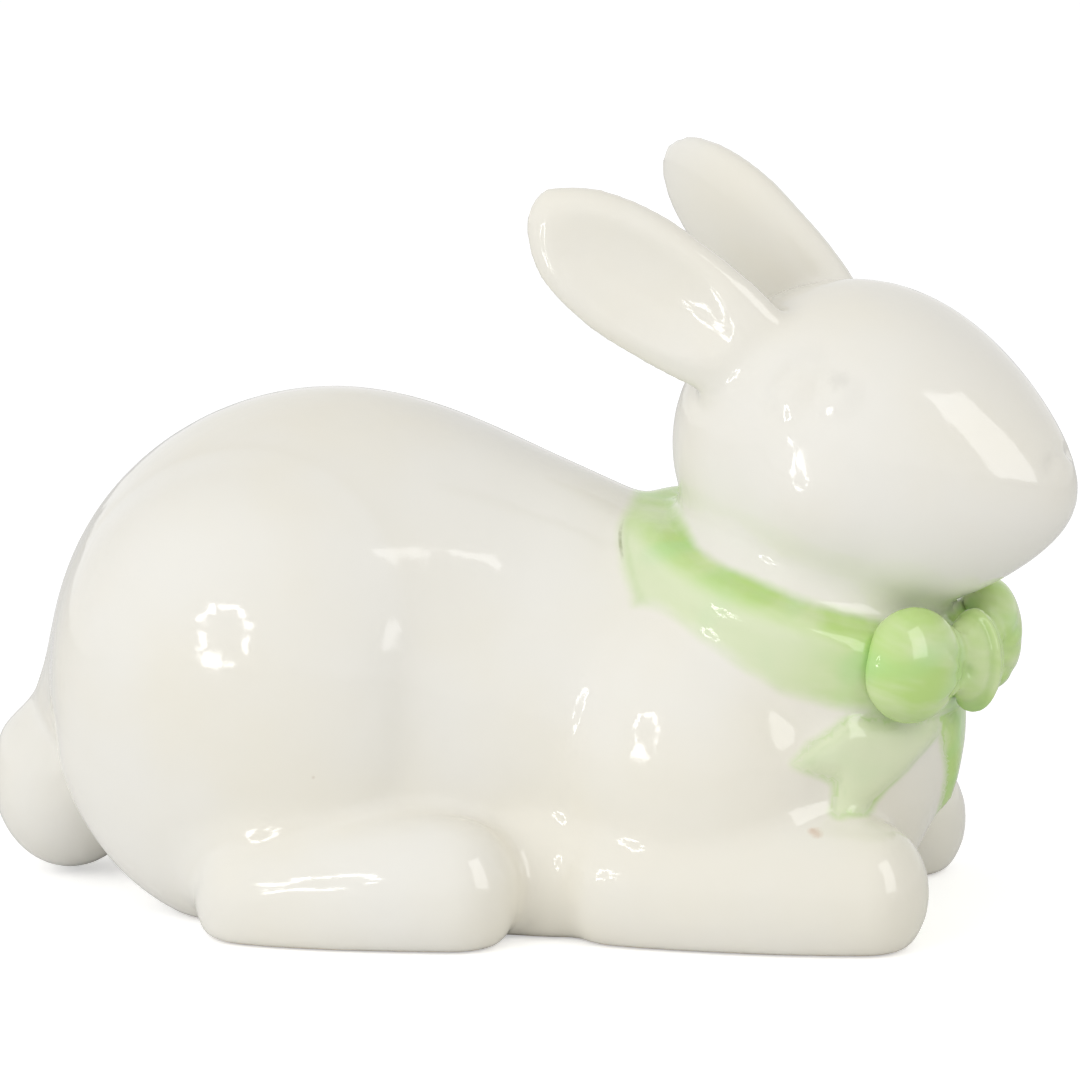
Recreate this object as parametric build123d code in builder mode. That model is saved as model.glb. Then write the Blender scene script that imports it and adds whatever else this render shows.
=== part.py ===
"""Ceramic rabbit figurine: a lying rabbit of slip-cast clay pieces, luted together, with a ribbon and bow.

Millimetres, +Z up, +X towards the paws, +Y to the rabbit's left. The origin is on the flat base.
Each piece is cut to the outside of the piece that carries it, so that the two meet face to face.
"""

import os
from collections import namedtuple
from math import cos, radians, sin

from build123d import *

# Clay
wall = 4.0
vent_radius = 4.5
vent_behind = 16.0
neck_opening_radius = 9.0

# Trunk, as elliptical stations from the rump forward
rump_x = -28.0
rump_centre = 32.0
rump_half_width = 34.0
rump_half_height = 39.0
rump_reach = 41.7
waist_ahead = 22.0
waist_centre = 28.0
waist_half_width = 28.5
waist_half_height = 37.0
nape_ahead = 18.0
nape_centre = 25.0
nape_half_width = 26.0
nape_half_height = 32.5
breast_ahead = 24.0
breast_centre = 23.0
breast_half_width = 25.0
breast_half_height = 26.0
breast_reach = 20.0

# Haunches
haunch_behind = 8.0
haunch_spread = 21.5
haunch_height = 31.0
haunch_half_length = 28.5
haunch_half_width = 16.0
haunch_half_height = 33.0

# Shoulders
shoulder_ahead = 13.0
shoulder_spread = 14.5
shoulder_height = 20.0
shoulder_half_length = 22.0
shoulder_half_width = 17.0
shoulder_half_height = 28.0

# Belly: the skirt of clay that comes down to the base between hind foot and elbow
belly_behind = 7.0
belly_spread = 17.0
belly_height = 8.0
belly_half_length = 18.0
belly_half_width = 12.5
belly_half_height = 13.0

# Throat: the swelling of the breast that carries the head
throat_ahead = 22.0
throat_height = 28.0
throat_length_inside_ribbon = 2.5
throat_width_inside_ribbon = 0.5
throat_half_height = 33.0

# Hind feet
heel_behind = 4.5
heel_height = 5.5
heel_half_height = 9.5
heel_reach = 9.0
foot_length = 26.5
foot_spread = 31.5
foot_half_width = 9.0
toe_height = 7.5
toe_half_height = 10.0
toe_reach = 9.5

# Forelegs
elbow_ahead = 4.0
elbow_spread = 23.5
elbow_reach = 9.0
forearm_length = 33.0
forearm_height = 7.5
forearm_half_width = 9.5
forearm_half_height = 10.0
paw_spread = 22.5
paw_reach = 8.5

# Tail
tail_overhang = 9.5
tail_height = 14.0
tail_half_length = 11.0
tail_half_width = 12.5
tail_half_height = 13.5

# Neck and head
head_turn = -17.0
head_tilt = 5.0
neck_slope = 20.0
neck_ahead = 24.3
neck_height = 43.2
neck_root_beyond_seat = 0.5
neck_top_radius = 15.0
neck_length = 18.0
head_ahead = 8.5
head_above = 21.6
skull_half_width = 21.5
skull_half_height = 23.0
skull_reach = 26.0
muzzle_reach = 31.8
muzzle_drop = 4.2
muzzle_taper = 0.3

# Ears
ear_root_behind = 10.5
ear_root_spread = 13.5
ear_root_above = 16.0
ear_back = 28.0
ear_out = 8.0
ear_up = 19.8
ear_middle = 16.0
ear_root_depth = 12.0
ear_half_width = 9.4
ear_half_thickness = 3.8
ear_face_forward = 0.5
ear_rim = 2.2
ear_scoop_depth = 3.2

# Ribbon and bow
ribbon_radius = 26.5
ribbon_width = 12.0
ribbon_depth = 4.0
ribbon_round = 3.5
bow_lift = 3.0
knot_stand_out = 0.4
knot_half_width = 3.3
knot_half_height = 7.4
knot_half_thickness = 4.4
loop_turn = 29.0
loop_half_length = 7.6
loop_half_height = 8.0
loop_half_thickness = 4.8

# Ribbon tails: forked strips laid on the breast below the bow
strip_relief = 1.6
strip_width = 11.0
strip_fork = 5.0
left_strip_turn = 30.0
left_strip_hang = 34.0
left_strip_length = 25.0
right_strip_turn = 40.0
right_strip_hang = 58.0
right_strip_length = 30.0

dome_angles = (21, 42, 60, 74, 84)

Station = namedtuple("Station", "x centre half_width half_height")

# Places that follow from the sizes
waist_x = rump_x + waist_ahead
nape_x = waist_x + nape_ahead
breast_x = nape_x + breast_ahead
turned = Plane((nape_x + neck_ahead, 0, neck_height)).rotated((0, 0, head_turn))
neck = Plane(turned.location * Rotation(0, neck_slope, 0))
neck_seat_radius = ribbon_radius - ribbon_depth
neck_root_radius = neck_seat_radius + neck_root_beyond_seat
throat_half_length = ribbon_radius - throat_length_inside_ribbon
throat_half_width = ribbon_radius - throat_width_inside_ribbon
head_frame = Plane(turned.location * Location((head_ahead, 0, head_above), (head_tilt, 0, 0)))


def dome(station, reach, way, drop, taper, grow):
    """Shrinking stations that close a form past its end station, forwards (way 1) or to the rear (way -1)."""
    stations = []
    for angle in dome_angles:
        along = sin(radians(angle))
        size = cos(radians(angle)) * (1 - taper * along**2)
        stations.append(
            Station(
                station.x + way * (reach + grow) * along,
                station.centre - drop * along**2,
                (station.half_width + grow) * size,
                (station.half_height + grow) * size,
            )
        )
    return stations


def soft_form(frame, stations, rear_reach, front_reach, grow=0.0, drop=0.0, taper=0.0):
    """A rounded form through elliptical stations along the frame's X axis, domed at both ends."""
    rear = dome(stations[0], rear_reach, -1, 0.0, 0.0, grow)
    middle = [Station(s.x, s.centre, s.half_width + grow, s.half_height + grow) for s in stations]
    front = dome(stations[-1], front_reach, 1, drop, taper, grow)
    with BuildPart() as form:
        for s in rear[::-1] + middle + front:
            centre = frame.from_local_coords((s.x, 0, s.centre))
            with BuildSketch(Plane(centre, x_dir=frame.y_dir, z_dir=frame.x_dir)):
                with BuildLine():
                    EllipticalCenterArc((0, 0), s.half_width, s.half_height, -90, arc_size=180)
                    EllipticalCenterArc((0, 0), s.half_width, s.half_height, 90, arc_size=180)
                make_face()
        loft()
    return form.part


def egg(frame, half_length, half_width, half_height, grow=0.0):
    """An egg round the frame's origin, with its half sizes along the frame's X, Y and Z."""
    return soft_form(frame, [Station(0, 0, half_width, half_height)], half_length, half_length, grow)


def trunk(grow=0.0):
    stations = [
        Station(rump_x, rump_centre, rump_half_width, rump_half_height),
        Station(waist_x, waist_centre, waist_half_width, waist_half_height),
        Station(nape_x, nape_centre, nape_half_width, nape_half_height),
        Station(breast_x, breast_centre, breast_half_width, breast_half_height),
    ]
    return soft_form(Plane.XY, stations, rump_reach, breast_reach, grow)


def haunch(side, grow=0.0):
    frame = Plane((rump_x - haunch_behind, side * haunch_spread, haunch_height))
    return egg(frame, haunch_half_length, haunch_half_width, haunch_half_height, grow)


def shoulder(side, grow=0.0):
    frame = Plane((nape_x + shoulder_ahead, side * shoulder_spread, shoulder_height))
    return egg(frame, shoulder_half_length, shoulder_half_width, shoulder_half_height, grow)


def belly(side):
    frame = Plane((nape_x - belly_behind, side * belly_spread, belly_height))
    return egg(frame, belly_half_length, belly_half_width, belly_half_height)


def throat(grow=0.0):
    frame = Plane((nape_x + throat_ahead, 0, throat_height))
    return egg(frame, throat_half_length, throat_half_width, throat_half_height, grow)


def head(grow=0.0):
    skull = [Station(0, 0, skull_half_width, skull_half_height)]
    return soft_form(head_frame, skull, skull_reach, muzzle_reach, grow, muzzle_drop, muzzle_taper)


os.makedirs("parts", exist_ok=True)

# Outside of the body, solid: what the other pieces are cut to
with BuildPart() as throat_outside:
    add(throat())
    split(bisect_by=neck, keep=Keep.BOTTOM)

with BuildPart() as body_outside:
    add(trunk())
    add(haunch(1))
    add(haunch(-1))
    add(shoulder(1))
    add(shoulder(-1))
    add(belly(1))
    add(belly(-1))
    add(throat_outside.part)
    split(bisect_by=Plane.XY, keep=Keep.TOP)
    with BuildSketch(neck):
        Circle(neck_seat_radius)
    extrude(amount=head_above, mode=Mode.SUBTRACT)

# Body casting: hollow, open at the neck, with a vent in the base
with BuildPart() as body_core:
    add(trunk(-wall))
    add(haunch(1, -wall))
    add(haunch(-1, -wall))
    add(shoulder(1, -wall))
    add(shoulder(-1, -wall))
    add(throat(-wall))
    split(bisect_by=Plane.XY.offset(wall), keep=Keep.TOP)
    with BuildSketch(neck.offset(-wall)):
        Circle(neck_seat_radius + wall)
    extrude(amount=head_above, mode=Mode.SUBTRACT)

with BuildPart() as body_casting:
    add(body_outside.part)
    add(body_core.part, mode=Mode.SUBTRACT)
    with BuildSketch(neck):
        Circle(neck_opening_radius)
    extrude(amount=-2 * wall, mode=Mode.SUBTRACT)
    with BuildSketch(Plane.XY):
        with Locations((-vent_behind, 0)):
            Circle(vent_radius)
    extrude(amount=2 * wall, mode=Mode.SUBTRACT)
body_casting.part.label = "body_casting"
export_step(body_casting.part, "parts/body_casting.step")

# Head casting: hollow, with a short neck, cut flat and open below
with BuildPart() as head_outside:
    add(head())
    with BuildSketch(neck):
        Circle(neck_root_radius)
    with BuildSketch(neck.offset(neck_length)):
        Circle(neck_top_radius)
    loft()
    split(bisect_by=neck, keep=Keep.TOP)
    add(body_outside.part, mode=Mode.SUBTRACT)

with BuildPart() as head_core:
    add(head(-wall))
    split(bisect_by=neck.offset(wall), keep=Keep.TOP)

with BuildPart() as head_casting:
    add(head_outside.part)
    add(head_core.part, mode=Mode.SUBTRACT)
    with BuildSketch(neck):
        Circle(neck_opening_radius)
    extrude(amount=head_above, mode=Mode.SUBTRACT)
head_casting.part.label = "head_casting"
export_step(head_casting.part, "parts/head_casting.step")


# Ears: leaves of clay, hollowed on the outer face
def ear_frame(side):
    root = head_frame.from_local_coords((-ear_root_behind, side * ear_root_spread, ear_root_above))
    along = head_frame.x_dir * -ear_back + head_frame.y_dir * side * ear_out + head_frame.z_dir * ear_up
    outwards = head_frame.y_dir * side + head_frame.x_dir * ear_face_forward
    return Plane(root, x_dir=along, z_dir=along.cross(outwards).cross(along))


def ear_leaf(side):
    ear_length = Vector(ear_back, ear_out, ear_up).length
    middle = [Station(ear_middle, 0, ear_half_width, ear_half_thickness)]
    return soft_form(ear_frame(side), middle, ear_middle + ear_root_depth, ear_length - ear_middle)


def ear_scoop(side):
    ear_length = Vector(ear_back, ear_out, ear_up).length
    depth = ear_half_thickness
    middle = [Station(ear_middle, 2 * depth - ear_scoop_depth, ear_half_width - ear_rim, depth)]
    return soft_form(ear_frame(side), middle, ear_middle, ear_length - ear_middle - ear_rim)


with BuildPart() as left_ear:
    add(ear_leaf(1))
    add(ear_scoop(1), mode=Mode.SUBTRACT)
    add(head_outside.part, mode=Mode.SUBTRACT)
left_ear.part.label = "left_ear"
export_step(left_ear.part, "parts/left_ear.step")

with BuildPart() as right_ear:
    add(ear_leaf(-1))
    add(ear_scoop(-1), mode=Mode.SUBTRACT)
    add(head_outside.part, mode=Mode.SUBTRACT)
right_ear.part.label = "right_ear"
export_step(right_ear.part, "parts/right_ear.step")

# Hind feet: the right one mirrors the left
foot_stations = [
    Station(0, heel_height, foot_half_width, heel_half_height),
    Station(foot_length, toe_height, foot_half_width, toe_half_height),
]
foot_frame = Plane((rump_x - heel_behind, foot_spread, 0))
with BuildPart() as left_hind_foot:
    add(soft_form(foot_frame, foot_stations, heel_reach, toe_reach))
    split(bisect_by=Plane.XY, keep=Keep.TOP)
    add(body_outside.part, mode=Mode.SUBTRACT)
left_hind_foot.part.label = "left_hind_foot"
export_step(left_hind_foot.part, "parts/left_hind_foot.step")

with BuildPart() as right_hind_foot:
    mirror(left_hind_foot.part, about=Plane.XZ)
right_hind_foot.part.label = "right_hind_foot"
export_step(right_hind_foot.part, "parts/right_hind_foot.step")

# Forelegs: the right one mirrors the left
elbow = Vector(nape_x + elbow_ahead, elbow_spread, 0)
paw = Vector(nape_x + elbow_ahead + forearm_length, paw_spread, 0)
forearm_stations = [
    Station(0, forearm_height, forearm_half_width, forearm_half_height),
    Station(forearm_length, forearm_height, forearm_half_width, forearm_half_height),
]
forearm_frame = Plane(elbow, x_dir=paw - elbow, z_dir=(0, 0, 1))
with BuildPart() as left_foreleg:
    add(soft_form(forearm_frame, forearm_stations, elbow_reach, paw_reach))
    split(bisect_by=Plane.XY, keep=Keep.TOP)
    add(body_outside.part, mode=Mode.SUBTRACT)
left_foreleg.part.label = "left_foreleg"
export_step(left_foreleg.part, "parts/left_foreleg.step")

with BuildPart() as right_foreleg:
    mirror(left_foreleg.part, about=Plane.XZ)
right_foreleg.part.label = "right_foreleg"
export_step(right_foreleg.part, "parts/right_foreleg.step")

# Tail
tail_frame = Plane((rump_x - rump_reach - tail_overhang + tail_half_length, 0, tail_height))
with BuildPart() as tail:
    add(egg(tail_frame, tail_half_length, tail_half_width, tail_half_height))
    add(body_outside.part, mode=Mode.SUBTRACT)
tail.part.label = "tail"
export_step(tail.part, "parts/tail.step")

# Ribbon: a band round the neck joint
with BuildPart() as neck_ribbon:
    with BuildSketch(neck):
        Circle(ribbon_radius)
    extrude(amount=ribbon_width / 2, both=True)
    fillet(neck_ribbon.edges(), ribbon_round)
    add(body_outside.part, mode=Mode.SUBTRACT)
    add(head_outside.part, mode=Mode.SUBTRACT)
neck_ribbon.part.label = "neck_ribbon"
export_step(neck_ribbon.part, "parts/neck_ribbon.step")


# Bow: a knot between two loops, upright on the front of the ribbon
def bow_frame(turn, stand_out):
    out = ribbon_radius + stand_out
    place = neck.from_local_coords((out * cos(radians(turn)), out * sin(radians(turn)), bow_lift))
    return Plane(place, x_dir=turned.x_dir, z_dir=turned.z_dir).rotated((0, 0, turn))


with BuildPart() as bow_knot:
    add(egg(bow_frame(0, knot_stand_out), knot_half_thickness, knot_half_width, knot_half_height))
    add(neck_ribbon.part, mode=Mode.SUBTRACT)
    add(body_outside.part, mode=Mode.SUBTRACT)
    add(head_outside.part, mode=Mode.SUBTRACT)
bow_knot.part.label = "bow_knot"
export_step(bow_knot.part, "parts/bow_knot.step")

with BuildPart() as left_bow_loop:
    add(egg(bow_frame(loop_turn, 0), loop_half_thickness, loop_half_length, loop_half_height))
    add(bow_knot.part, mode=Mode.SUBTRACT)
    add(neck_ribbon.part, mode=Mode.SUBTRACT)
    add(body_outside.part, mode=Mode.SUBTRACT)
    add(head_outside.part, mode=Mode.SUBTRACT)
left_bow_loop.part.label = "left_bow_loop"
export_step(left_bow_loop.part, "parts/left_bow_loop.step")

with BuildPart() as right_bow_loop:
    add(egg(bow_frame(-loop_turn, 0), loop_half_thickness, loop_half_length, loop_half_height))
    add(bow_knot.part, mode=Mode.SUBTRACT)
    add(neck_ribbon.part, mode=Mode.SUBTRACT)
    add(body_outside.part, mode=Mode.SUBTRACT)
    add(head_outside.part, mode=Mode.SUBTRACT)
right_bow_loop.part.label = "right_bow_loop"
export_step(right_bow_loop.part, "parts/right_bow_loop.step")


# Ribbon tails: cut out of the breast's outside, grown by their relief
def strip(turn, hang, length):
    """A forked strip, seen from outside, that starts behind the knot and hangs to one side."""
    hung = Plane(bow_frame(0, 0).location * Rotation(0, 0, turn) * Rotation(hang, 0, 0))
    with BuildPart() as prism:
        with BuildSketch(Plane(hung.origin, x_dir=hung.y_dir, z_dir=hung.x_dir)):
            with BuildLine():
                Polyline(
                    (-strip_width / 2, 0),
                    (strip_width / 2, 0),
                    (strip_width / 2, -length),
                    (0, -length + strip_fork),
                    (-strip_width / 2, -length),
                    close=True,
                )
            make_face()
        extrude(amount=ribbon_radius, both=True)
    return prism.part


with BuildPart() as breast_grown:
    add(throat(strip_relief))
    add(trunk(strip_relief))
    add(shoulder(1, strip_relief))
    add(shoulder(-1, strip_relief))
    split(bisect_by=neck.offset(-ribbon_width / 2), keep=Keep.BOTTOM)

with BuildPart() as left_ribbon_tail:
    add(strip(left_strip_turn, left_strip_hang, left_strip_length))
    add(breast_grown.part, mode=Mode.INTERSECT)
    add(body_outside.part, mode=Mode.SUBTRACT)
    add(neck_ribbon.part, mode=Mode.SUBTRACT)
    add(bow_knot.part, mode=Mode.SUBTRACT)
    add(left_bow_loop.part, mode=Mode.SUBTRACT)
    add(left_foreleg.part, mode=Mode.SUBTRACT)
left_ribbon_tail.part.label = "left_ribbon_tail"
export_step(left_ribbon_tail.part, "parts/left_ribbon_tail.step")

with BuildPart() as right_ribbon_tail:
    add(strip(-right_strip_turn, -right_strip_hang, right_strip_length))
    add(breast_grown.part, mode=Mode.INTERSECT)
    add(body_outside.part, mode=Mode.SUBTRACT)
    add(neck_ribbon.part, mode=Mode.SUBTRACT)
    add(bow_knot.part, mode=Mode.SUBTRACT)
    add(right_bow_loop.part, mode=Mode.SUBTRACT)
    add(right_foreleg.part, mode=Mode.SUBTRACT)
    add(left_ribbon_tail.part, mode=Mode.SUBTRACT)
right_ribbon_tail.part.label = "right_ribbon_tail"
export_step(right_ribbon_tail.part, "parts/right_ribbon_tail.step")
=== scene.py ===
import math

import bmesh
import bpy
import numpy as np
from mathutils import Matrix, Vector
from mathutils.bvhtree import BVHTree


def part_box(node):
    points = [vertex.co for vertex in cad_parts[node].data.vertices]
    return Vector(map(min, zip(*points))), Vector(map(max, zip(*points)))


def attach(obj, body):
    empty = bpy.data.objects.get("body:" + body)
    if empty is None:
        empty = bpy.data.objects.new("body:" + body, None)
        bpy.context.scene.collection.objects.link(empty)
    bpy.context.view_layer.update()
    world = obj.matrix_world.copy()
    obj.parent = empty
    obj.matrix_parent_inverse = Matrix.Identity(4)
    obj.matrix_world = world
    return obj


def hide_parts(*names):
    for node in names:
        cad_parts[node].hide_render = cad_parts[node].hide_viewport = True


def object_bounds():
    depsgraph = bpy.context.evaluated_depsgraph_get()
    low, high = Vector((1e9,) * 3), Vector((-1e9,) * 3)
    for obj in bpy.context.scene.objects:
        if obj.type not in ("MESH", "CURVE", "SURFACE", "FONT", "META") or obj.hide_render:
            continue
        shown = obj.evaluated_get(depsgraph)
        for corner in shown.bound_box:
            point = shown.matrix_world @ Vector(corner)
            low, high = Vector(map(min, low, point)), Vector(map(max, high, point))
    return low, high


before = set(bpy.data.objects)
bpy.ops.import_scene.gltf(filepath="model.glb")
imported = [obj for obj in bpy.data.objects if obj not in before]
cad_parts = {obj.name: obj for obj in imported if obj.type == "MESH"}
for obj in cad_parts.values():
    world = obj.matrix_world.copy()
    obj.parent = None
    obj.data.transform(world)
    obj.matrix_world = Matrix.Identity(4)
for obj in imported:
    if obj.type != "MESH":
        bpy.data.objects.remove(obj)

scene = bpy.context.scene
cad_low, cad_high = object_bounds()
MM = 0.001

# The pieces that flow into one another under the glaze, and those of the crisper bow
soft_pieces = [
    "body_casting", "head_casting", "left_ear", "right_ear", "left_hind_foot", "right_hind_foot",
    "left_foreleg", "right_foreleg", "tail", "neck_ribbon", "left_ribbon_tail", "right_ribbon_tail",
]
bow_pieces = ["bow_knot", "left_bow_loop", "right_bow_loop"]
ribbon_tails = ["left_ribbon_tail", "right_ribbon_tail"]
thin_pieces = ["neck_ribbon"] + ribbon_tails
green_pieces = thin_pieces + bow_pieces

# How finely the clay is worked, in metres, and how often it is sponged
skin_grain = 0.75 * MM
bow_grain = 0.4 * MM
weld_reach = 0.001 * MM
even_passes = 4
sponge_firmness = 0.5
thin_pool_passes = 8
deep_pool_passes = 45
broad_pool_passes = 600
rump_coats = 2
heel_pool_passes = 300
bow_pool_passes = 200
bow_luting = 2.2 * MM
near_reach = 6 * MM
shell_depth = 1.6 * MM
rim_depth = 1.2 * MM
bubble_share = 0.03
stray_share = 0.1
shortest_cut = 0.05

# The vent in the base, as in the part's source
vent_centre = Vector((-16, 0)) * MM
vent_radius = 4.5 * MM
vent_clearance = 1.4
vent_plug_low = 1.4 * MM
vent_plug_high = 2.6 * MM
vent_depth = 5 * MM

# The neck joint and the head, as in the part's source, in metres and degrees
head_turn = math.radians(-17)
head_tilt = math.radians(5)
neck_slope = math.radians(20)
neck_centre = Vector((36.3, 0, 43.2)) * MM
head_ahead = 8.5 * MM
head_above = 21.6 * MM
ribbon_radius = 26.5 * MM
bow_lift = 3.0 * MM
knot_half_width = 3.4 * MM
turned = Matrix.Translation(neck_centre) @ Matrix.Rotation(head_turn, 4, "Z")
neck_frame = turned @ Matrix.Rotation(neck_slope, 4, "Y")
head_middle = turned @ Matrix.Translation((head_ahead, 0, head_above))
head_frame = head_middle @ Matrix.Rotation(head_tilt, 4, "X")

# The face, in millimetres ahead of, beside and above the head's middle, then the reach and depth
# of each fingertip's hollow; a negative depth is a swelling
eye_and_cheek = {
    "cheek": ((1.9, 20.8, -5.2), 11.0, -1.1),
    "eye_socket": ((4.2, 18.3, 11.4), 7.0, 0.35),
    "eye": ((5.9, 18.0, 11.5), 4.0, -0.85),
    "lid_top": ((0.4, 16.9, 14.2), 4.2, -0.65),
    "lid_rear": ((-1.2, 18.5, 11.6), 4.4, -0.75),
}
nostril = ((29.9, 3.5, 0.6), 1.8, 0.45)
nose_crease_ahead = 30.2
nose_crease_above = 1.7
nose_crease_bow = 0.12
nose_crease_steps = (-2.2, 0, 2.2)
nose_crease_reach = 1.9
nose_crease_depth = 0.4

# The bow's folds: places on the knot and slopes on the loops, depths in metres, widths in millimetres
knot_folds = (-1.5, 0.5)
knot_fold_depth = 0.5 * MM
knot_fold_width = 0.55
loop_folds = (-0.45, 0.1, 0.5)
loop_fold_depth = 0.4 * MM
loop_fold_width = 0.8

# How the green was brushed on: its load, and how far it slipped past the edges, in metres
thin_load = 0.55
upper_edge_load = 0.45
beside_bow_load = 0.3
tail_loads = {"right_ribbon_tail": 0.52, "left_ribbon_tail": 1.0}
bow_load = 0.8
loop_end_load = 0.2
far_loop_load = 0.25
# Deeper green towards the loops' undersides: partly glaze pooled low, partly painted shade
loop_underside_pool_and_shade = 0.6
nape_paint = 1 * MM
tail_slip = 0.4 * MM
inside_paint = 3.0
ear_joint_reach = 3 * MM


def worked(shape, tool, **settings):
    """A shape as one of the workshop's tools leaves it."""
    mesh = bpy.data.meshes.new("rough")
    shape.to_mesh(mesh)
    lump = bpy.data.objects.new("rough", mesh)
    scene.collection.objects.link(lump)
    modifier = lump.modifiers.new("tool", tool)
    for name, value in settings.items():
        setattr(modifier, name, value)
    depsgraph = bpy.context.evaluated_depsgraph_get()
    result = bpy.data.meshes.new_from_object(lump.evaluated_get(depsgraph))
    finished = bmesh.new()
    finished.from_mesh(result)
    bpy.data.objects.remove(lump)
    bpy.data.meshes.remove(mesh)
    bpy.data.meshes.remove(result)
    return finished


def evened(rough, grain):
    """A rough shape as one even skin, sponged once over."""
    skin = worked(rough, "REMESH", mode="VOXEL", voxel_size=grain, adaptivity=0)
    rough.free()
    drop_bubbles(skin)
    sponge(skin, even_passes)
    return skin


def joined(nodes):
    """Copies of some castings, merged."""
    rough = bmesh.new()
    for node in nodes:
        rough.from_mesh(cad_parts[node].data)
    bmesh.ops.remove_doubles(rough, verts=rough.verts, dist=weld_reach)
    return rough


def grouped(items, neighbours):
    """Groups of items that hang together."""
    left = set(items)
    groups = []
    for seed in items:
        if seed not in left:
            continue
        left.remove(seed)
        front = [seed]
        group = [seed]
        while front:
            for other in neighbours(front.pop()):
                if other in left:
                    left.remove(other)
                    front.append(other)
                    group.append(other)
        groups.append(group)
    return groups


def islands(faces):
    """Groups of faces that hang together by their edges."""
    beside = lambda face: [other for edge in face.edges for other in edge.link_faces]
    return grouped(faces, beside)


def open_edges(skin):
    return [edge for edge in skin.edges if edge.is_boundary]


def open_rims(piece):
    """The open rims of a piece, each as its list of edges."""
    beside = lambda edge: [other for vert in edge.verts for other in vert.link_edges]
    return grouped(open_edges(piece), beside)


def extruded(piece, edges):
    """New vertices and open edges drawn out of some edges."""
    drawn = bmesh.ops.extrude_edge_only(piece, edges=edges)["geom"]
    verts = [item for item in drawn if isinstance(item, bmesh.types.BMVert)]
    rim = [item for item in drawn if isinstance(item, bmesh.types.BMEdge) and item.is_boundary]
    return verts, rim


def drop_bubbles(skin):
    """Takes out the small bubbles that lie loose inside the skin."""
    groups = islands(list(skin.faces))
    largest = max(len(group) for group in groups)
    bubbles = [face for group in groups if len(group) < bubble_share * largest for face in group]
    if bubbles:
        bmesh.ops.delete(skin, geom=bubbles, context="FACES")


def plug_vent(skin):
    """Takes away the hollow behind the vent, which stays as a blind hole in the base."""
    band = []
    for face in skin.faces:
        middle = face.calc_center_median()
        beside = (middle.xy - vent_centre).length < vent_clearance * vent_radius
        if beside and vent_plug_low < middle.z < vent_plug_high:
            band.append(face)
    bmesh.ops.delete(skin, geom=band, context="FACES")
    groups = sorted(islands(list(skin.faces)), key=len)
    hollow = [face for group in groups[:-1] for face in group]
    bmesh.ops.delete(skin, geom=hollow, context="FACES")
    top, _ = extruded(skin, open_edges(skin))
    bmesh.ops.translate(skin, verts=top, vec=(0, 0, vent_depth))
    bmesh.ops.holes_fill(skin, edges=open_edges(skin))


def sponge(skin, passes):
    """Passes a damp sponge over the skin."""
    axes = {"use_axis_x": True, "use_axis_y": True, "use_axis_z": True}
    for _ in range(passes):
        bmesh.ops.smooth_vert(skin, verts=skin.verts, factor=sponge_firmness, **axes)


def places(skin):
    return np.array([vert.co for vert in skin.verts])


def facings(skin):
    skin.normal_update()
    return np.array([vert.normal for vert in skin.verts])


def set_places(skin, points):
    for vert, point in zip(skin.verts, points):
        vert.co = point


def local(points, matrix):
    """Points as seen from a frame's origin along its axes."""
    turn = np.array(matrix.inverted())
    return points @ turn[:3, :3].T + turn[:3, 3]


def soft_step(values, low, high):
    share = np.clip((values - low) / (high - low), 0, 1)
    return share * share * (3 - 2 * share)


def fade_mm(values, low, high):
    """A soft step between two lengths in millimetres."""
    return soft_step(values, low * MM, high * MM)


def distances(points, nodes):
    """How far each point lies from each casting's surface, up to the near reach."""
    depsgraph = bpy.context.evaluated_depsgraph_get()
    away = np.full((len(points), len(nodes)), near_reach)
    for number, node in enumerate(nodes):
        tree = BVHTree.FromObject(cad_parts[node], depsgraph)
        low, high = (np.array(corner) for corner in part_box(node))
        inside = np.all((points > low - near_reach) & (points < high + near_reach), axis=1)
        for place in np.nonzero(inside)[0]:
            found = tree.find_nearest(points[place].tolist(), near_reach)[3]
            if found is not None:
                away[place, number] = found
    return away


def rises(skin, passes):
    """How far sponging would raise each vertex out of the skin."""
    run = worked(skin, "SMOOTH", factor=sponge_firmness, iterations=passes)
    rise = np.einsum("ij,ij->i", places(run) - places(skin), facings(skin))
    run.free()
    return rise


def raise_skin(skin, rise):
    """Raises each vertex out of the skin, or lets it down."""
    set_places(skin, places(skin) + facings(skin) * np.reshape(rise, (-1, 1)))


def level(skin, passes, share):
    """Levels hollows and ridges by a share, about the height that most of the skin keeps."""
    rise = rises(skin, passes)
    raise_skin(skin, (rise - np.median(rise[share > 0.5])) * share)


def pool_glaze(skin, passes, share):
    """Fills the hollows as running glaze does."""
    raise_skin(skin, np.clip(rises(skin, passes), 0, None) * share)


def press(skin, centre, reach, depth):
    """Presses a fingertip's hollow into the skin; a negative depth raises a swelling."""
    skin.verts.ensure_lookup_table()
    share = 1 - ((places(skin) - np.array(centre)) ** 2).sum(axis=1) / reach**2
    for number in np.nonzero(share > 0)[0]:
        vert = skin.verts[number]
        vert.co -= vert.normal * depth * share[number] ** 2


def press_head(skin, place, reach, depth, side=1):
    """Presses a hollow into the head, by millimetres ahead of, beside and above its middle."""
    ahead, beside, above = place
    centre = head_frame @ Vector((ahead * MM, side * beside * MM, above * MM))
    press(skin, centre, reach * MM, depth * MM)


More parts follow.
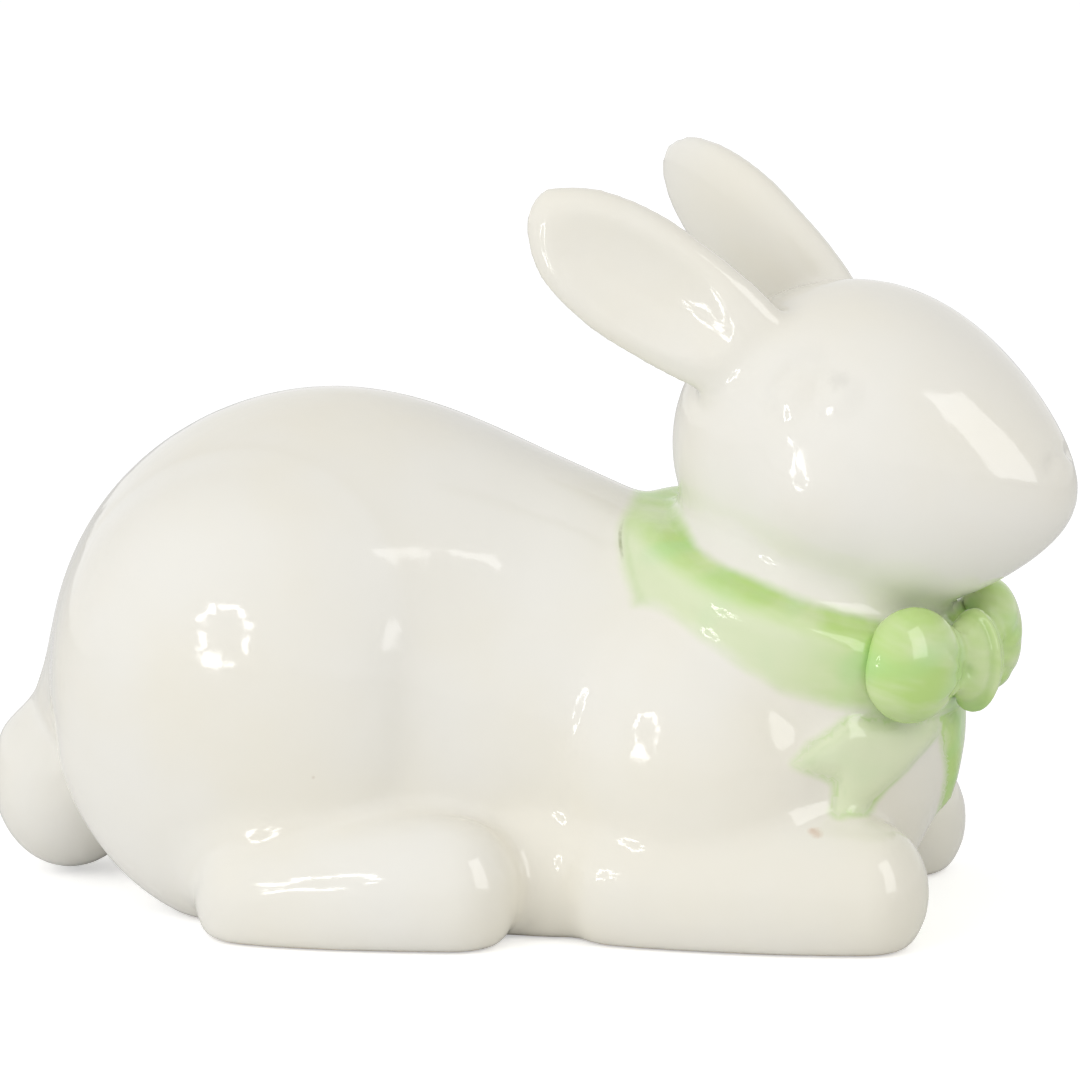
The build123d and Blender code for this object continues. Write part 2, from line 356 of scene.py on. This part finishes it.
def cut_between(skin, away):
    """Cuts the skin along the lines where one casting's surface gives way to another's."""
    layer = skin.verts.layers.int.new("owner")
    skin.verts.index_update()
    for vert, number in zip(skin.verts, away.argmin(axis=1)):
        vert[layer] = int(number)
    crossing = [edge for edge in skin.edges if edge.verts[0][layer] != edge.verts[1][layer]]
    line = []
    for edge in crossing:
        first, second = edge.verts
        mine, other = first[layer], second[layer]
        here = away[first.index, mine] - away[first.index, other]
        there = away[second.index, mine] - away[second.index, other]
        share = here / (here - there) if here < 0 < there else 0.5
        share = min(max(share, shortest_cut), 1 - shortest_cut)
        vert = bmesh.utils.edge_split(edge, first, share)[1]
        vert[layer] = -1
        line.append(vert)
    bmesh.ops.connect_verts(skin, verts=line)


def share_faces(skin, count):
    """Gives every face to its casting; small stray patches go to what surrounds them."""
    corner = skin.verts.layers.int["owner"]
    layer = skin.faces.layers.int.new("owner")
    for face in skin.faces:
        owners = sorted(vert[corner] for vert in face.verts if vert[corner] >= 0)
        face[layer] = max(owners, key=owners.count) if owners else -1
    for number in range(-1, count):
        groups = islands([face for face in skin.faces if face[layer] == number])
        largest = max((len(group) for group in groups), default=0)
        for group in groups:
            if number >= 0 and len(group) > stray_share * largest:
                continue
            beside = [other[layer] for face in group for edge in face.edges for other in edge.link_faces]
            around = sorted(owner for owner in beside if owner not in (number, -1))
            for face in group:
                face[layer] = max(around, key=around.count)


def runs_against(face):
    """Whether a face is turned the other way from its neighbours."""
    for loop in face.loops:
        other = loop.link_loop_radial_next
        if other != loop and other.vert == loop.vert:
            return True
    return False


def sink(verts, layer, depth):
    """Lets some vertices down below the skin, where they keep no facing of their own."""
    for vert in verts:
        vert.co -= Vector(vert[layer]) * depth
        vert[layer] = (0, 0, 0)


def close_rims(piece):
    """Closes a piece behind each rim where it was parted: a short wall down, then a cone."""
    layer = piece.verts.layers.float_vector["facing"]
    for rim in open_rims(piece):
        wall, wall_rim = extruded(piece, rim)
        sink(wall, layer, rim_depth)
        middle = sum((vert.co for vert in wall), Vector()) / len(wall)
        cone, _ = extruded(piece, wall_rim)
        bmesh.ops.pointmerge(piece, verts=cone, merge_co=middle)


def back_with_clay(piece):
    """Gives a thin piece its thickness, below the skin."""
    layer = piece.verts.layers.float_vector["facing"]
    front = list(piece.faces)
    verts = list(piece.verts)
    bmesh.ops.extrude_face_region(piece, geom=front, use_keep_orig=True)
    if any(runs_against(face) for face in front):
        bmesh.ops.reverse_faces(piece, faces=front)
    sink(verts, layer, shell_depth)


def keep_facing(skin):
    layer = skin.verts.layers.float_vector.new("facing")
    skin.normal_update()
    for vert in skin.verts:
        vert[layer] = vert.normal


def keep_number(skin, name, values):
    layer = skin.verts.layers.float.new(name)
    for vert, value in zip(skin.verts, values):
        vert[layer] = float(value)


def keep_strokes(skin, down):
    """Where the brush was, round the neck and up it, in millimetres; swapped where it was drawn down."""
    layer = skin.verts.layers.float_vector.new("stroke")
    seen = local(places(skin), neck_frame) / MM
    round_neck = np.arctan2(seen[:, 1], seen[:, 0]) * ribbon_radius / MM
    for vert, along, up, turned_down in zip(skin.verts, round_neck, seen[:, 2], down):
        vert[layer] = (up, along, 0) if turned_down else (along, up, 0)


def part_pieces(skin, nodes, away):
    """Parts the joined skin into closed pieces that keep its smooth shading, by the node they replace."""
    keep_facing(skin)
    cut_between(skin, away)
    share_faces(skin, len(nodes))
    parted = {}
    for number, node in enumerate(nodes):
        piece = skin.copy()
        layer = piece.faces.layers.int["owner"]
        others = [face for face in piece.faces if face[layer] != number]
        bmesh.ops.delete(piece, geom=others, context="FACES")
        if node in thin_pieces:
            back_with_clay(piece)
        else:
            close_rims(piece)
        for face in piece.faces:
            face.smooth = True
        mesh = bpy.data.meshes.new(node + "_glazed")
        piece.to_mesh(mesh)
        piece.free()
        kept = np.zeros(len(mesh.vertices) * 3)
        mesh.attributes["facing"].data.foreach_get("vector", kept)
        mesh.normals_split_custom_set_from_vertices(kept.reshape(-1, 3).tolist())
        parted[node] = bpy.data.objects.new(node + "_glazed", mesh)
        scene.collection.objects.link(parted[node])
    skin.free()
    return parted


def rump_share(skin):
    """Where the haunches run into the back, over the rump and behind it."""
    length, _, height = places(skin).T
    over = fade_mm(height, 38, 52) * fade_mm(-length, -4, 10)
    behind = fade_mm(-length, 40, 52) * fade_mm(height, 20, 30)
    return np.maximum(over, behind)


def heel_share(skin):
    """Where the heels run into the haunches."""
    length, width, height = places(skin).T
    behind = fade_mm(-length, 20, 32) * fade_mm(-height, -26, -18)
    return behind * fade_mm(np.abs(width), 18, 24)


def brush_load(points, owner):
    """How much green the brush left: most along the ribbon's upper edge and by the bow."""
    ahead, aside, up = local(points, neck_frame).T
    from_bow = np.abs(np.arctan2(aside, ahead)) * ribbon_radius
    load = thin_load + upper_edge_load * fade_mm(up, 3, 7) + beside_bow_load * (1 - fade_mm(from_bow, 14, 34))
    for name, tail_load in tail_loads.items():
        load[owner == soft_pieces.index(name)] = tail_load
    return load


# The joined skin: rump, back and heels run together broadly, other valleys less, the ribbon stays crisp
skin = evened(joined(soft_pieces), skin_grain)
plug_vent(skin)
crisp = distances(places(skin), ["neck_ribbon"])[:, 0] < skin_grain
pool_glaze(skin, thin_pool_passes, crisp)
pool_glaze(skin, deep_pool_passes, ~crisp)
for _ in range(rump_coats):
    pool_glaze(skin, broad_pool_passes, rump_share(skin))
pool_glaze(skin, heel_pool_passes, heel_share(skin))
level(skin, broad_pool_passes, rump_share(skin))
skin = evened(skin, skin_grain)
level(skin, broad_pool_passes, rump_share(skin))

# The face: cheeks, eyes in shallow sockets before a raised lid, nostrils, and a crease over the nose
skin.normal_update()
for side in (-1, 1):
    for place, reach, depth in eye_and_cheek.values():
        press_head(skin, place, reach, depth, side)
        skin.normal_update()
    press_head(skin, *nostril, side)
for aside in nose_crease_steps:
    place = (nose_crease_ahead, aside, nose_crease_above - nose_crease_bow * aside**2)
    press_head(skin, place, nose_crease_reach, nose_crease_depth)

# What the glazes read: how deep the glaze lies, how far in the paint, the brush's load and its strokes
set_places(skin, np.clip(places(skin), np.array(cad_low), np.array(cad_high)))
points = places(skin)
away = distances(points, soft_pieces)
owner = away.argmin(axis=1)
pooled = away.min(axis=1)
tail_numbers = [soft_pieces.index(name) for name in ribbon_tails]
from_ribbon, from_ear, from_head = (
    away[:, soft_pieces.index(name)] for name in ("neck_ribbon", "left_ear", "head_casting")
)
from_white = away[:, [name not in green_pieces for name in soft_pieces]].min(axis=1)
from_green = np.minimum(from_ribbon, away[:, tail_numbers].min(axis=1) - tail_slip)
at_nape = fade_mm(-local(points, neck_frame)[:, 0], 8, 16)
at_ear = np.maximum(from_ear, from_head) < ear_joint_reach
keep_number(skin, "pooled", pooled / MM)
keep_number(skin, "paint", (from_white - from_green + nape_paint * at_nape) / MM)
keep_number(skin, "ear_line", np.where(at_ear, pooled / pooled[at_ear].max(), 0))
keep_number(skin, "load", brush_load(points, owner))
keep_strokes(skin, np.isin(owner, tail_numbers))
glazed = part_pieces(skin, soft_pieces, away)

# The bow: run together by the glaze, with folds drawn down the knot and into the loops
bow = evened(joined(bow_pieces), bow_grain)
raise_skin(bow, np.full(len(bow.verts), bow_luting))
bow = evened(bow, bow_grain)
raise_skin(bow, np.full(len(bow.verts), -bow_luting))
pool_glaze(bow, bow_pool_passes, 1)
bow = evened(bow, bow_grain)
points = places(bow)
facing = facings(bow)
outwards = facing @ np.array(neck_frame.to_3x3() @ Vector((1, 0, 0)))
ahead, aside, above = local(points, neck_frame).T
above = above - bow_lift
round_neck = np.arctan2(aside, ahead) * ribbon_radius
from_knot = np.abs(round_neck) - knot_half_width
fold = np.zeros(len(points))
for place in knot_folds:
    across = round_neck / MM - place
    fold += knot_fold_depth * np.exp(-((across / knot_fold_width) ** 2)) * (from_knot < 0)
fading = fade_mm(from_knot, 0, 1.5) * (1 - fade_mm(from_knot, 4, 11))
for slope in loop_folds:
    across = (above - slope * from_knot) / MM
    fold += loop_fold_depth * np.exp(-((across / loop_fold_width) ** 2)) * fading
set_places(bow, points - facing * (fold * np.clip(outwards * 2, 0, 1))[:, None])
sponge(bow, 1)
load = bow_load + loop_end_load * fade_mm(-round_neck, 10, 14) + far_loop_load * fade_mm(round_neck, 0, 5)
# Glaze pooled in the folds, and deeper green low on the loops that is partly painted shade
keep_number(bow, "pooled", fold / MM + loop_underside_pool_and_shade * fade_mm(-above, 2, 7))
keep_number(bow, "paint", np.full(len(points), inside_paint))
keep_number(bow, "load", load)
keep_strokes(bow, np.zeros(len(points), bool))
glazed.update(part_pieces(bow, bow_pieces, distances(places(bow), bow_pieces)))


def tint(red, green, blue):
    """A colour as the eye reads it, 0 to 255, as the shader takes it."""
    shares = [value / 255 for value in (red, green, blue)]
    return [s / 12.92 if s <= 0.04045 else ((s + 0.055) / 1.055) ** 2.4 for s in shares] + [1.0]


class Bench:
    """A node tree with short ways to add and join its nodes."""

    def __init__(self, tree):
        self.tree = tree

    def put(self, kind, settings=(), **inputs):
        node = self.tree.nodes.new("ShaderNode" + kind)
        for name, value in dict(settings).items():
            setattr(node, name, value)
        for name, value in inputs.items():
            socket = node.inputs[int(name[1:])] if name[0] == "_" else node.inputs[name.replace("_", " ")]
            if isinstance(value, bpy.types.NodeSocket):
                self.tree.links.new(value, socket)
            else:
                socket.default_value = value
        return node

    def math(self, operation, *values):
        inputs = {f"_{number}": value for number, value in enumerate(values)}
        return self.put("Math", {"operation": operation}, **inputs).outputs[0]

    def ramp(self, value, low, high, start=0.0, end=1.0):
        limits = {"From_Min": low, "From_Max": high, "To_Min": start, "To_Max": end}
        node = self.put("MapRange", {"interpolation_type": "SMOOTHSTEP"}, Value=value, **limits)
        return node.outputs["Result"]

    def mix(self, share, first, second):
        node = self.put("Mix", {"data_type": "RGBA"}, _0=share, _6=first, _7=second)
        return node.outputs[2]

    def noise(self, place, scale, **settings):
        return self.put("TexNoise", Vector=place, Scale=scale, **settings).outputs["Fac"]

    def number(self, name):
        return self.put("Attribute", {"attribute_name": name}).outputs["Fac"]

    def object_place(self):
        return self.put("TexCoord").outputs["Object"]

    def use(self, group, **inputs):
        node = self.tree.nodes.new("ShaderNodeGroup")
        node.node_tree = group
        for name, value in inputs.items():
            node.inputs[name].default_value = value
        return node.outputs


cool_white = tint(237, 235, 228)
warm_white = tint(236, 232, 219)
pooled_white = tint(222, 216, 198)
speck_brown = tint(168, 140, 104)
rust = tint(196, 150, 110)
grey_smudge = tint(176, 174, 166)
crack_grey = tint(120, 112, 100)
bare_clay = tint(226, 214, 194)
pale_green = tint(214, 229, 178)
full_green = tint(188, 219, 130)
mint_green = tint(178, 222, 146)
deep_green = tint(160, 198, 104)
# the colour of the painted shade line along the ribbon's undercut edge
olive_shade = tint(132, 140, 92)

# The glaze's gloss and relief; scales are per metre, the brush's per millimetre
glaze_gloss = 0.05
glaze_haze = 0.05
glaze_index = 1.52
bare_roughness = 0.6
haze_scale = 700.0
haze_relief = 0.04
ripple_strength = 0.22
ripple_height = 0.8 * MM
speck_rarity = 0.97
speck_strength = 0.4
wiped_height = 0.7 * MM
ragged_scale = 900.0
ragged_share = 0.9
stroke_stretch = (0.08, 0.2, 1.0)
dab_scale = 0.11

# Marks on the white glaze: place in millimetres, reach, colour and strength
smudges = (
    ((44.3, -21.2, 76.6), 2.4, grey_smudge, 0.15),
    ((42.7, -27.7, 16.8), 1.5, rust, 0.45),
)
# Painted shade: a thin dark line where the ribbon's raised edge undercuts beside the nape, by place in
# millimetres and reach
ribbon_shade_line_place = (15.2, -12.8, 53.0)
ribbon_shade_line_reach = 5


def new_group(name, inputs, outputs):
    """A node group with its sockets, by name, kind and first value; returns it with its bench and ends."""
    group = bpy.data.node_groups.new(name, "ShaderNodeTree")
    for socket_name, kind, value in inputs:
        socket = group.interface.new_socket(socket_name, in_out="INPUT", socket_type="NodeSocket" + kind)
        if value is not None:
            socket.default_value = value
    for socket_name, kind in outputs:
        group.interface.new_socket(socket_name, in_out="OUTPUT", socket_type="NodeSocket" + kind)
    start = group.nodes.new("NodeGroupInput").outputs
    end = group.nodes.new("NodeGroupOutput").inputs
    return group, Bench(group), start, end


def fired_glaze_group():
    """Clouds of warmth, ripples, specks and fine haze of a fired glaze."""
    inputs = [("Cloud Size", "Float", 24.0), ("Ripple Size", "Float", 150.0), ("Speck Size", "Float", 210.0)]
    outputs = [(name, "Float") for name in ("Clouds", "Ripple", "Specks", "Haze")]
    group, bench, start, end = new_group("fired_glaze", inputs, outputs)
    place = bench.object_place()
    clouds = bench.noise(place, start["Cloud Size"], Detail=3.0, Roughness=0.55)
    ripple = bench.noise(place, start["Ripple Size"], Detail=1.5, Roughness=0.4)
    haze = bench.noise(place, haze_scale, Detail=2.0, Roughness=0.6)
    cells = bench.put("TexVoronoi", Vector=place, Scale=start["Speck Size"]).outputs
    drawn_lot = bench.put("SeparateColor", Color=cells["Color"]).outputs[0]
    chosen = bench.math("GREATER_THAN", drawn_lot, speck_rarity)
    dots = bench.ramp(cells["Distance"], 0.04, 0.1, 1.0, 0.0)
    group.links.new(bench.ramp(clouds, 0.3, 0.7), end["Clouds"])
    group.links.new(ripple, end["Ripple"])
    group.links.new(bench.math("MULTIPLY", dots, chosen), end["Specks"])
    group.links.new(haze, end["Haze"])
    return group


def stain_and_shade_group():
    """A patch with a ragged edge round one place, for smudges and for the painted shade line by the ribbon.
    """
    inputs = [("Place", "Vector", None), ("Reach", "Float", None)]
    group, bench, start, end = new_group("stain_and_shade", inputs, [("Stain and Shade", "Float")])
    place = bench.object_place()
    ragged = bench.noise(place, ragged_scale, Detail=2.0)
    away = bench.put("VectorMath", {"operation": "DISTANCE"}, _0=place, _1=start["Place"]).outputs["Value"]
    share = bench.math("DIVIDE", away, start["Reach"])
    edge = bench.math("MULTIPLY_ADD", ragged, ragged_share, share)
    group.links.new(bench.ramp(edge, 0.55, 1.35, 1.0, 0.0), end["Stain and Shade"])
    return group


def brushed_green_group():
    """The brushed green: its streaky colour, and how thickly it lies, thinning out across the edges."""
    inputs = [("Slip", "Float", 1.3), ("Fade", "Float", 1.3)]
    outputs = [("Green", "Color"), ("Laid", "Float")]
    group, bench, start, end = new_group("brushed_green", inputs, outputs)
    load = bench.number("load")
    stroke = bench.put("Attribute", {"attribute_name": "stroke"}).outputs["Vector"]
    drawn = bench.put("Mapping", Vector=stroke, Scale=stroke_stretch).outputs["Vector"]
    streaks = bench.noise(drawn, 1.0, Detail=3.0, Roughness=0.5)
    dabs = bench.noise(stroke, dab_scale, Detail=1.0)
    full = bench.math("MULTIPLY", bench.ramp(streaks, 0.28, 0.6), bench.ramp(load, 0.4, 1.0))
    minted = bench.math("MULTIPLY", bench.ramp(dabs, 0.5, 0.72, 0.0, 0.6), load)
    green = bench.mix(full, pale_green, full_green)
    green = bench.mix(minted, green, mint_green)
    # Deeper green where the glaze pools, and low on the bow's loops, where it is partly painted shade
    green = bench.mix(bench.ramp(bench.number("pooled"), 0.1, 0.6, 0.0, 0.35), green, deep_green)
    edge = bench.math("ADD", bench.number("paint"), bench.ramp(streaks, 0.2, 0.8, -0.5, 0.5))
    slipped = bench.math("ADD", edge, start["Slip"])
    span = bench.math("ADD", start["Slip"], start["Fade"])
    laid = bench.ramp(bench.math("DIVIDE", slipped, span), 0.0, 1.0)
    group.links.new(green, end["Green"])
    group.links.new(bench.math("MULTIPLY", laid, bench.ramp(load, 0.0, 0.9)), end["Laid"])
    return group


fired_glaze = fired_glaze_group()
stain_and_shade = stain_and_shade_group()
brushed_green = brushed_green_group()


def stain_and_shade_patch(bench, place, reach):
    """How strongly a ragged patch shows, for smudges and for the painted shade line by the ribbon, by its
    place and reach in millimetres.
    """
    return bench.use(stain_and_shade, Place=[value * MM for value in place], Reach=reach * MM)["Stain and Shade"]


def worn_marks(bench, colour, life):
    """A worn eye, a rust speck on one paw, and a broken hairline at one ear."""
    for place, reach, shade, strength in smudges:
        colour = bench.mix(bench.math("MULTIPLY", stain_and_shade_patch(bench, place, reach), strength), colour, shade)
    line = bench.ramp(bench.number("ear_line"), 0.62, 0.9)
    broken = bench.math("MULTIPLY", line, bench.ramp(life["Ripple"], 0.35, 0.6, 0.15, 0.55))
    return bench.mix(broken, colour, crack_grey)


def ribbon_edge_shade_line(bench):
    """A thin line of painted shade behind the ribbon, beside the nape, where its raised edge undercuts."""
    near = stain_and_shade_patch(bench, ribbon_shade_line_place, ribbon_shade_line_reach)
    line = bench.ramp(bench.math("ABSOLUTE", bench.number("paint")), 0.1, 0.4, 0.6, 0.0)
    return bench.math("MULTIPLY", line, near)


def glaze_material(name, marks=None):
    """A glossy white glaze under brushed green, with marks of wear and a painted shade line along the
    ribbon's edge, wiped bare at the foot.
    """
    material = bpy.data.materials.new(name)
    material.use_nodes = True
    bench = Bench(material.node_tree)
    life = bench.use(fired_glaze)
    colour = bench.mix(life["Clouds"], cool_white, warm_white)
    depth = bench.ramp(bench.number("pooled"), 0.3, 2.5, 0.0, 0.35)
    colour = bench.mix(depth, colour, pooled_white)
    brush = bench.use(brushed_green)
    colour = bench.mix(brush["Laid"], colour, brush["Green"])
    if marks:
        colour = marks(bench, colour, life)
    # Painted shade along the ribbon's undercut edge by the nape
    colour = bench.mix(ribbon_edge_shade_line(bench), colour, olive_shade)
    colour = bench.mix(bench.math("MULTIPLY", life["Specks"], speck_strength), colour, speck_brown)
    height = bench.put("SeparateXYZ", Vector=bench.object_place()).outputs["Z"]
    wiped = bench.math("MULTIPLY_ADD", life["Haze"], wiped_height, height)
    bare = bench.ramp(wiped, 0.5 * MM, 0.9 * MM, 1.0, 0.0)
    colour = bench.mix(bare, colour, bare_clay)
    sheen = bench.ramp(life["Haze"], 0.3, 0.75, glaze_gloss, glaze_gloss + glaze_haze)
    rough = bench.math("MULTIPLY_ADD", bare, bare_roughness, sheen)
    relief = bench.math("MULTIPLY_ADD", life["Haze"], haze_relief, life["Ripple"])
    bump = bench.put("Bump", Strength=ripple_strength, Distance=ripple_height, Height=relief)
    shader = material.node_tree.nodes["Principled BSDF"]
    bench.tree.links.new(colour, shader.inputs["Base Color"])
    bench.tree.links.new(rough, shader.inputs["Roughness"])
    bench.tree.links.new(bump.outputs["Normal"], shader.inputs["Normal"])
    shader.inputs["IOR"].default_value = glaze_index
    return material


cream_glaze = glaze_material("cream_glaze", worn_marks)
brushed_green_glaze = glaze_material("brushed_green_glaze")

for node, obj in glazed.items():
    painted = node in green_pieces
    obj.data.materials.clear()
    obj.data.materials.append(brushed_green_glaze if painted else cream_glaze)
    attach(obj, "root")
    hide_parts(node)

# Floor: pale, a little brighter to the camera, so that it reads as white and keeps the shadow
floor_half_size = 6
floor_grey = (0.88, 0.88, 0.88, 1)
floor_roughness = 0.9
floor_lift = 0.45
plain_white = (1, 1, 1, 1)
floor_shape = bmesh.new()
bmesh.ops.create_grid(floor_shape, x_segments=1, y_segments=1, size=floor_half_size)
floor_mesh = bpy.data.meshes.new("floor")
floor_shape.to_mesh(floor_mesh)
floor_shape.free()
floor = bpy.data.objects.new("floor", floor_mesh)
scene.collection.objects.link(floor)
floor_paint = bpy.data.materials.new("floor_paint")
floor_paint.use_nodes = True
bench = Bench(floor_paint.node_tree)
shader = floor_paint.node_tree.nodes["Principled BSDF"]
shader.inputs["Base Color"].default_value = floor_grey
shader.inputs["Roughness"].default_value = floor_roughness
shader.inputs["Emission Color"].default_value = plain_white
path = bench.put("LightPath").outputs
lift = bench.math("MULTIPLY", path["Is Camera Ray"], floor_lift)
bench.tree.links.new(lift, shader.inputs["Emission Strength"])
floor_mesh.materials.append(floor_paint)

# Light tent: white to the eye and in the glaze, dimmer as a light
tent_level = 0.6
world = bpy.data.worlds.new("light_tent")
scene.world = world
world.use_nodes = True
bench = Bench(world.node_tree)
path = bench.put("LightPath").outputs
shown = bench.math("MAXIMUM", path["Is Camera Ray"], path["Is Glossy Ray"])
shown = bench.math("MAXIMUM", shown, path["Is Transmission Ray"])
tent = world.node_tree.nodes["Background"]
tent.inputs["Color"].default_value = plain_white
bench.tree.links.new(bench.math("MAXIMUM", shown, tent_level), tent.inputs["Strength"])


def direction(azimuth, elevation):
    turn, lift = math.radians(azimuth), math.radians(elevation)
    return Vector((math.sin(turn) * math.cos(lift), -math.cos(turn) * math.cos(lift), math.sin(lift)))


def place_towards(name, data, aim, azimuth, elevation, distance):
    """A lamp or camera that looks at a place from some way off."""
    obj = bpy.data.objects.new(name, data)
    scene.collection.objects.link(obj)
    obj.location = aim + direction(azimuth, elevation) * distance
    obj.rotation_mode = "QUATERNION"
    obj.rotation_quaternion = (-direction(azimuth, elevation)).to_track_quat("-Z", "Y")
    return obj


def panel(name, aim, azimuth, elevation, distance, width, height, radiance, shade=(1, 1, 1)):
    """A lamp panel that faces a place on the rabbit; its brightness is given as it is seen."""
    light = bpy.data.lights.new(name, "AREA")
    light.shape = "RECTANGLE"
    light.size = width
    light.size_y = height
    light.energy = radiance * math.pi * width * height
    light.color = shade
    return place_towards(name, light, aim, azimuth, elevation, distance)


# The softbox and the fill light the clay, and the window shows only in the glaze
rabbit_middle = Vector((0, -10, 45)) * MM
softbox = panel(
    "softbox", rabbit_middle, azimuth=-39, elevation=25, distance=1.4,
    width=1.2, height=1.2, radiance=1.84, shade=(0.98, 0.985, 1.0),
)
softbox.visible_glossy = False
fill = panel(
    "fill", rabbit_middle, azimuth=57, elevation=34, distance=0.9,
    width=0.34, height=0.5, radiance=2.2, shade=(1.0, 0.97, 0.9),
)
fill.visible_glossy = False
window = panel(
    "window", rabbit_middle, azimuth=61, elevation=26, distance=0.9,
    width=0.36, height=0.74, radiance=2.6,
)
window.visible_diffuse = False

# Sparkle: a broken ring of small lamps close to the haunch, by turn, width and height in millimetres
haunch_side = Vector((-36, -37, 35)) * MM
sparkle_azimuth = -14
sparkle_elevation = 12
sparkle_ring = 10
sparkle_distance = 0.15
sparkle_radiance = 9
sparkle_lamps = (
    (245, 24, 12), (205, 5, 8), (165, 11, 12), (130, 11, 18), (98, 5, 7),
    (72, 18, 8), (42, 8, 11), (12, 11, 8), (335, 8, 8), (285, 8, 5),
)
for number, (turn, width, height) in enumerate(sparkle_lamps):
    across = sparkle_ring * math.cos(math.radians(turn))
    up = sparkle_ring * math.sin(math.radians(turn))
    lamp = panel(
        f"sparkle_{number}", haunch_side, sparkle_azimuth + across, sparkle_elevation + up,
        sparkle_distance, width * MM, height * MM, sparkle_radiance,
    )
    lamp.visible_diffuse = False
    lamp.visible_camera = False

# Camera, at the photograph's angle
picture_pixels = 1080
focal_pixels = 5040
camera_aim = Vector((0, 0, 50)) * MM
camera_data = bpy.data.cameras.new("camera")
camera_data.sensor_fit = "HORIZONTAL"
camera_data.angle = 2 * math.atan(picture_pixels / 2 / focal_pixels)
scene.camera = place_towards("camera", camera_data, camera_aim, azimuth=11, elevation=10, distance=0.7)
scene.view_settings.view_transform = "Standard"
